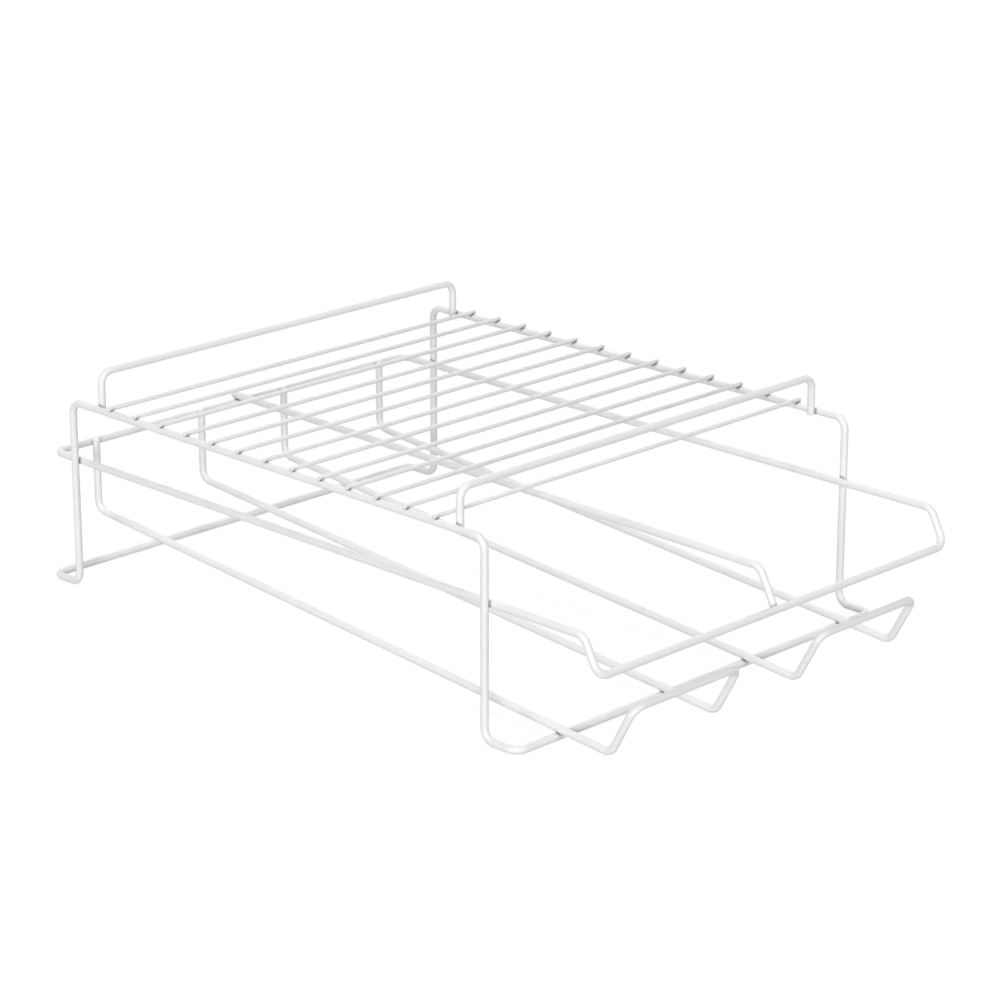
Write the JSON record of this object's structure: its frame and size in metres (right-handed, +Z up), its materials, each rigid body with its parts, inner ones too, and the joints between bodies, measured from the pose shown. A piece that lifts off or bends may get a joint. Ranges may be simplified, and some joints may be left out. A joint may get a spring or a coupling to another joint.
{
  "type": "tiered shoe rack",
  "caption": "Welded white wire shoe rack: shelf of thin wires between hoop guards, a looped middle tier that dips in front, and long fingers with raised tips below.",
  "frame": {"origin": "on the floor, midway between the two floor bars and midway between the two rails", "axes": "+Z up; -Y is the front, where the lower tiers reach out; +X to the right as seen from the front"},
  "size_m": [0.3106, 0.4677, 0.1448],
  "materials": {
    "coated_wire": "semi-gloss white coating",
    "coated_shelf_wire": "semi-gloss white coating on thin wire"
  },
  "bodies": {
    "root": {"frame_wire": "coated_wire", "shelf_wire_1": "coated_shelf_wire", "shelf_wire_2": "coated_shelf_wire", "shelf_wire_3": "coated_shelf_wire", "shelf_wire_4": "coated_shelf_wire", "shelf_wire_5": "coated_shelf_wire", "shelf_wire_6": "coated_shelf_wire", "shelf_wire_7": "coated_shelf_wire", "shelf_wire_8": "coated_shelf_wire", "shelf_wire_9": "coated_shelf_wire", "shelf_wire_10": "coated_shelf_wire", "shelf_wire_11": "coated_shelf_wire", "shelf_wire_12": "coated_shelf_wire", "shelf_wire_13": "coated_shelf_wire", "rear_guard": "coated_wire", "front_guard": "coated_wire", "middle_loop": "coated_wire", "centre_bar": "coated_wire", "left_finger": "coated_wire", "right_finger": "coated_wire"}
  },
  "joints": []
}
